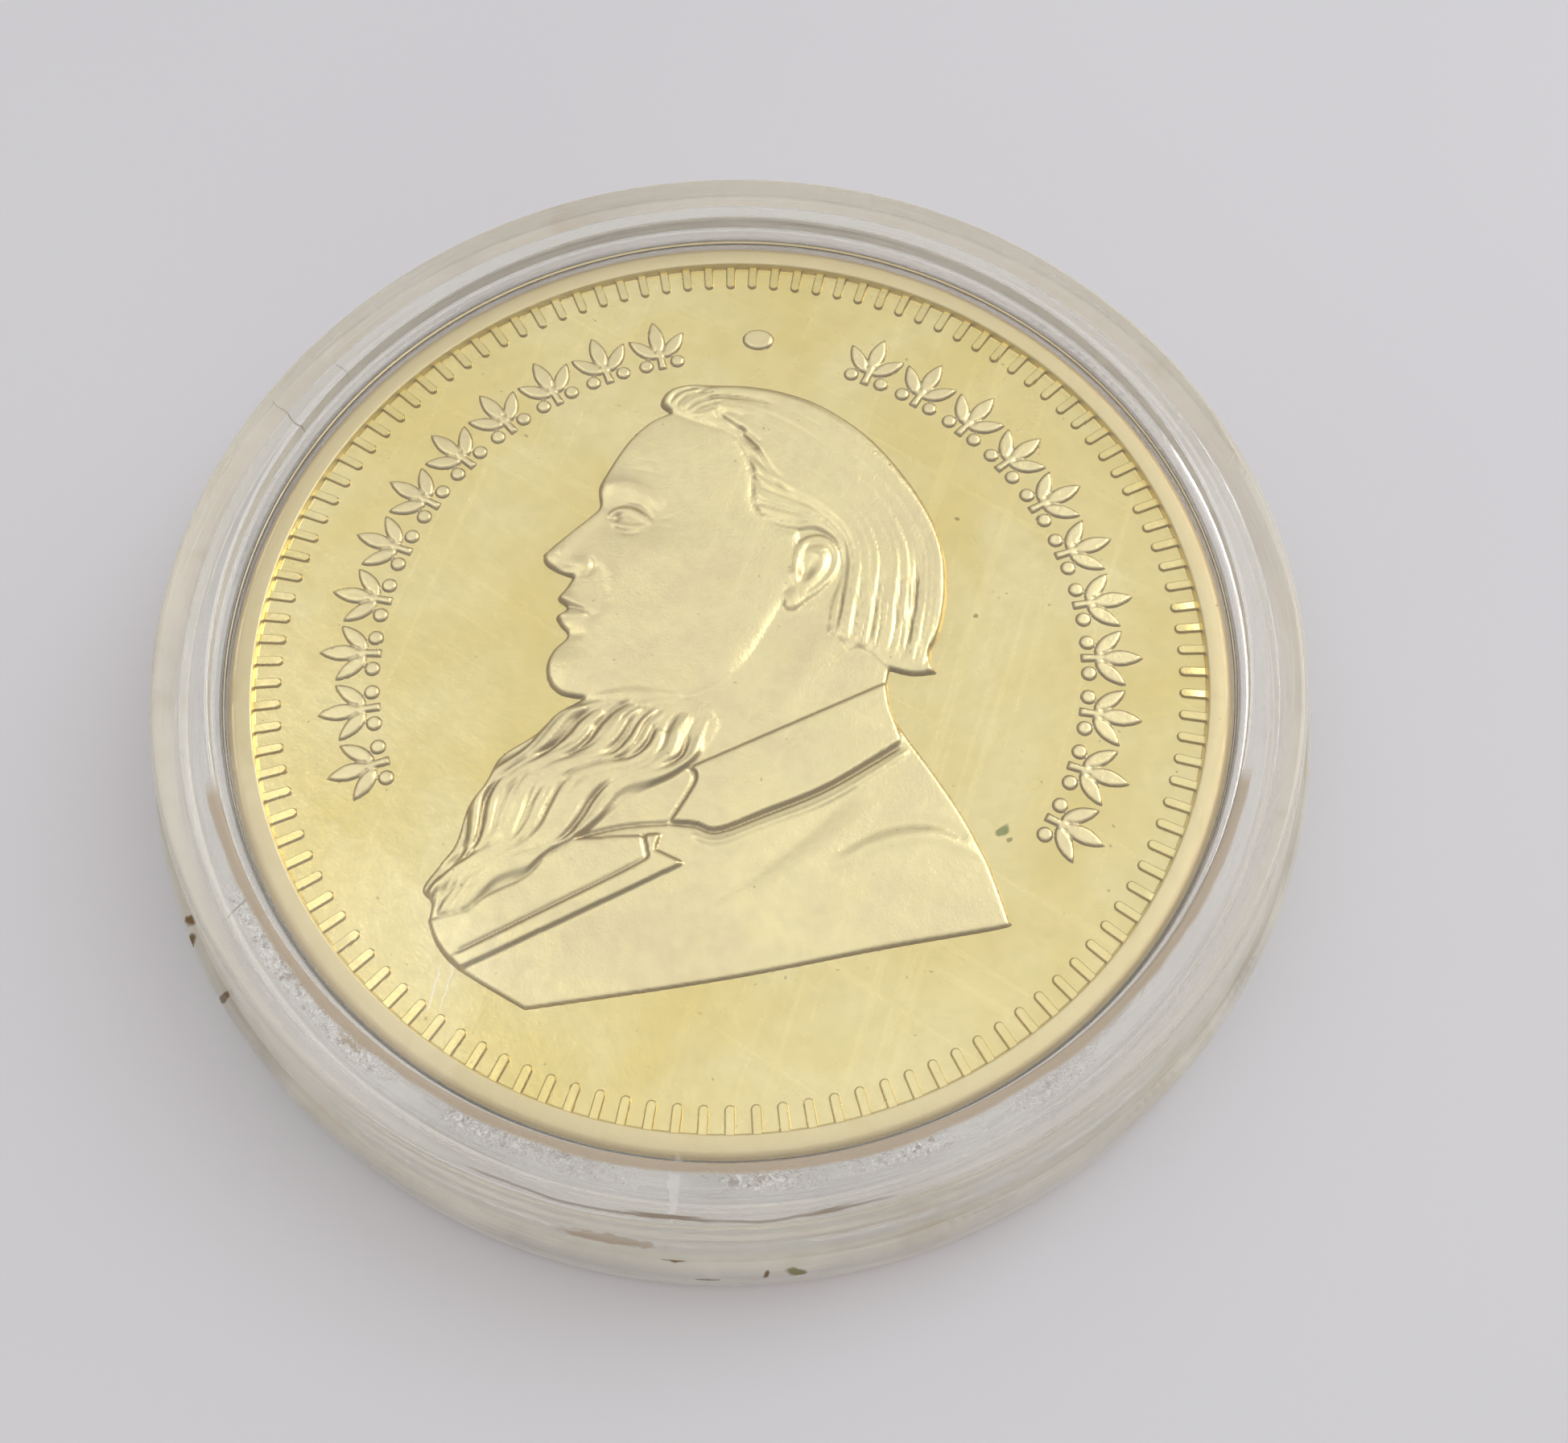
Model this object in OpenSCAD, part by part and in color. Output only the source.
// Round snap-together capsule for one large coin.
// Three loose pieces on one axis: a base with a plug wall, the coin, and a lid
// whose skirt closes over the plug wall and stands on the base's flange.
// The origin is the centre of the face that the capsule rests on, and +Z is up.

/* [Coin] */
// Diameter of the coin
coin_d = 32.77; // [25:0.01:45]
// Thickness of the coin over its rims
coin_t = 2.84; // [2.2:0.01:4]
// Radial width of the flat rim
coin_rim_w = 0.78; // [0.5:0.01:1.2]
// Depth of the field below the rim, on each face
coin_field_depth = 0.3; // [0.15:0.01:0.5]
// Number of denticles round each face
denticle_count = 120; // [60:1:140]
// Length of a denticle, from the rim inwards
denticle_len = 0.85; // [0.4:0.01:1.2]
// Width of a denticle
denticle_w = 0.3; // [0.2:0.01:0.4]
// Number of reeds round the edge
reed_count = 180; // [90:1:200]
// Depth of the grooves between the reeds
reed_depth = 0.09; // [0.05:0.01:0.12]

/* [Capsule] */
// Gap between the coin's edge and the plug wall
coin_gap = 0.115; // [0.08:0.005:0.4]
// Gap under and over the coin
coin_play = 0.05; // [0.03:0.01:0.3]
// Radial width of the capsule's ring, outside the coin space
ring_w = 2.9; // [2.8:0.05:4]
// Thickness of the two clear windows
window_t = 1; // [0.8:0.05:1.5]
// Depth of the base's window above the resting face
foot_h = 0.5; // [0.4:0.05:1]
// Depth of the lid's window below the lid's ring
recess_h = 0.66; // [0.5:0.01:1]
// Height of the seam between the base's flange and the lid's skirt
seam_z = 3; // [2.4:0.05:3.4]
// Angle that the lid's skirt leans inwards, towards its top
skirt_draft = 11; // [0:0.5:12]
// Radius of the lid's rounded upper edge
shoulder_r = 0.3; // [0.2:0.05:0.5]
// Radius of the base's rounded lower edge
foot_edge_r = 0.5; // [0.3:0.05:0.8]
// Radius of the flange's rounded upper edge, beside the seam
flange_edge_r = 0.45; // [0.3:0.05:0.5]

/* [Snap fit] */
// Thickness of the base's plug wall
plug_w = 1; // [0.9:0.05:1.1]
// How far the bead stands out from the plug wall
bead_h = 0.1; // [0.05:0.01:0.14]
// Gap between the bead and the lid's lip as they pass
snap_gap = 0.05; // [0.03:0.01:0.08]

/* [Hidden] */
$fn = 180;
arc_steps = 8;

edge_bevel = 0.12;    // bevel on the moulded edges
seam_gap = 0.04;      // the lid stands this far above the flange
lid_setback = 0.4;    // the lid's skirt is this much smaller in radius
bead_rise = 0.1;      // height of the bead's and the lip's slopes
bead_flat = 0.15;     // height of the bead's and the lip's lands

coin_r = coin_d / 2;
chamber_r = coin_r + coin_gap;
outer_r = chamber_r + ring_w;
floor_z = foot_h + window_t;              // the coin space's floor
coin_z = floor_z + coin_play;             // underside of the coin
ceiling_z = coin_z + coin_t + coin_play;  // underside of the lid's window
window_top_z = ceiling_z + window_t;
top_z = window_top_z + recess_h;

plug_r = chamber_r + plug_w;
plug_top_z = ceiling_z + 0.3;
groove_z = plug_top_z + 0.1;              // roof of the lid's groove over the plug wall
bead_r = plug_r + bead_h;
bead_z = ceiling_z - 0.3;                 // lower end of the bead
lip_r = bead_r + snap_gap;
lip_z = bead_z - 2 * bead_rise - bead_flat - 0.05;
skirt_in_r = lip_r + 0.1;
skirt_r = outer_r - lid_setback;          // at the skirt's lower edge
skirt_z = seam_z + seam_gap;              // lower edge of the skirt

// Centre of the rounded upper edge, placed so that the leaning skirt runs into it smoothly.
shoulder_z = top_z - shoulder_r;
lean_h = shoulder_z + shoulder_r * sin(skirt_draft) - skirt_z - edge_bevel;
shoulder_x = skirt_r - lean_h * tan(skirt_draft) - shoulder_r * cos(skirt_draft);

// Points along an arc about (x, y), from angle a0 to angle a1.
function arc(x, y, r, a0, a1) =
    [for (i = [0:arc_steps]) let (a = a0 + (a1 - a0) * i / arc_steps) [x + r * cos(a), y + r * sin(a)]];

// Corners of n square teeth between two radii, each tooth_w wide at its tip.
function teeth(n, root_r, tip_r, tooth_w) =
    [for (i = [0:n - 1], c = [0:3])
        let (side = (c < 2) ? -1 : 1,
             r = (c == 0 || c == 3) ? root_r : tip_r,
             a = 360 * i / n + side * asin(tooth_w / 2 / r))
        [r * cos(a), r * sin(a)]];

// The bottom shell: foot ring, window, flange and the plug wall that surrounds the coin.
module base() {
    color([0.86, 0.84, 0.78, 0.45])
    rotate_extrude()
    polygon(concat(
        [[0, foot_h], [chamber_r + 0.3, foot_h]],
        [[chamber_r + 0.3, edge_bevel], [chamber_r + 0.3 + edge_bevel, 0]],
        arc(outer_r - foot_edge_r, foot_edge_r, foot_edge_r, -90, 0),
        arc(outer_r - flange_edge_r, seam_z - flange_edge_r, flange_edge_r, 0, 90),
        [[plug_r, seam_z]],
        [[plug_r, bead_z], [bead_r, bead_z + bead_rise], [bead_r, bead_z + bead_rise + bead_flat]],
        [[plug_r, bead_z + 2 * bead_rise + bead_flat], [plug_r, plug_top_z - edge_bevel]],
        [[plug_r - edge_bevel, plug_top_z], [chamber_r + edge_bevel, plug_top_z]],
        [[chamber_r, plug_top_z - edge_bevel], [chamber_r, floor_z], [0, floor_z]]
    ));
}

// One face of the coin: the flat rim with its denticles, standing above the field.
module coin_rim() {
    rim_in_r = coin_r - coin_rim_w;
    linear_extrude(coin_field_depth)
    difference() {
        circle(coin_r - edge_bevel);
        polygon(teeth(denticle_count, rim_in_r, rim_in_r - denticle_len,
                      2 * PI * rim_in_r / denticle_count - denticle_w));
    }
}

// The coin: a struck blank with a reeded edge and the same raised rim on both faces.
module coin() {
    color([0.86, 0.73, 0.38])
    translate([0, 0, coin_z]) {
        translate([0, 0, coin_field_depth])
        linear_extrude(coin_t - 2 * coin_field_depth)
        polygon(teeth(reed_count, coin_r - reed_depth, coin_r, PI * coin_r / reed_count));
        translate([0, 0, coin_t - coin_field_depth]) coin_rim();
        coin_rim();
    }
}

// The top shell: window, raised ring with a rounded edge, and the leaning skirt with its snap lip.
module lid() {
    color([0.9, 0.88, 0.8, 0.4])
    rotate_extrude()
    polygon(concat(
        [[0, ceiling_z], [chamber_r - 0.1, ceiling_z], [chamber_r - 0.1, groove_z]],
        [[skirt_in_r, groove_z], [skirt_in_r, lip_z + 2 * bead_rise + bead_flat]],
        [[lip_r, lip_z + bead_rise + bead_flat], [lip_r, lip_z + bead_rise], [skirt_in_r, lip_z]],
        [[skirt_in_r, skirt_z], [skirt_r - edge_bevel, skirt_z], [skirt_r, skirt_z + edge_bevel]],
        arc(shoulder_x, shoulder_z, shoulder_r, skirt_draft, 90),
        [[chamber_r + 0.1 + edge_bevel, top_z], [chamber_r + 0.1, top_z - edge_bevel]],
        [[chamber_r + 0.1, window_top_z], [0, window_top_z]]
    ));
}

base();
coin();
lid();
